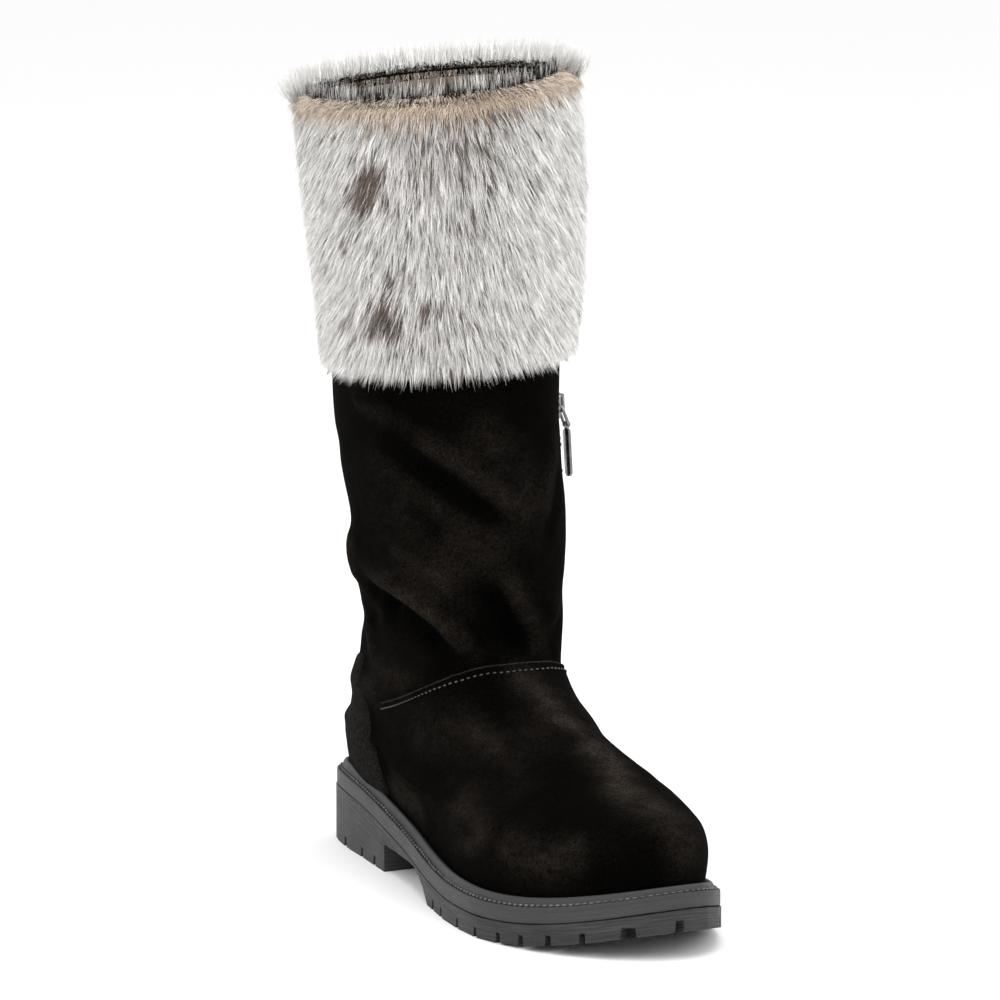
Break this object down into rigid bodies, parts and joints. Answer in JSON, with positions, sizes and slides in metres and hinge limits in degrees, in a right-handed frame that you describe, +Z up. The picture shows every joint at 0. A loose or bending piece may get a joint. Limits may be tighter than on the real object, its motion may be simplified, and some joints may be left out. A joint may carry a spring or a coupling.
{
  "type": "mukluk boot",
  "caption": "Mid-calf suede winter boot with a turned-out fur cuff, inner side zip and a thick lugged rubber sole, slouching softly over the ankle",
  "frame": {"origin": "on the floor under the middle of the heel", "axes": "+Z up, -Y towards the toe, +X towards the inner (big toe) side of this right boot"},
  "size_m": [0.1268, 0.2945, 0.3506],
  "materials": {
    "rubber": "matt dark grey moulded rubber",
    "suede": "near black brown napped suede",
    "fur": "white and silver fur with brown guard hairs and spots",
    "lining": "black short-pile lining",
    "tape": "black woven zip tape",
    "steel": "dark polished gunmetal"
  },
  "bodies": {
    "boot": {"outsole": "rubber", "midsole": "rubber", "welt": "rubber", "insole": "lining", "upper": "suede", "heel_counter": "suede", "zip_tape": "tape", "zip_chain": "tape", "fur_cuff": "fur", "zip_slider": "steel"},
    "zip_link": {"zip_link": "steel"},
    "zip_pull": {"zip_pull": "steel"}
  },
  "joints": [
    {"name": "link_hinge", "type": "hinge", "parent": "boot", "child": "zip_link", "pos_m": [0.05549, -0.04085, 0.19838], "axis": [0, -0.9939, 0.1105], "range_deg": [0, 80]},
    {"name": "pull_hinge", "type": "hinge", "parent": "zip_link", "child": "zip_pull", "pos_m": [0.05837, -0.04173, 0.19043], "axis": [0, -0.9939, 0.1105], "range_deg": [-10, 80]}
  ]
}
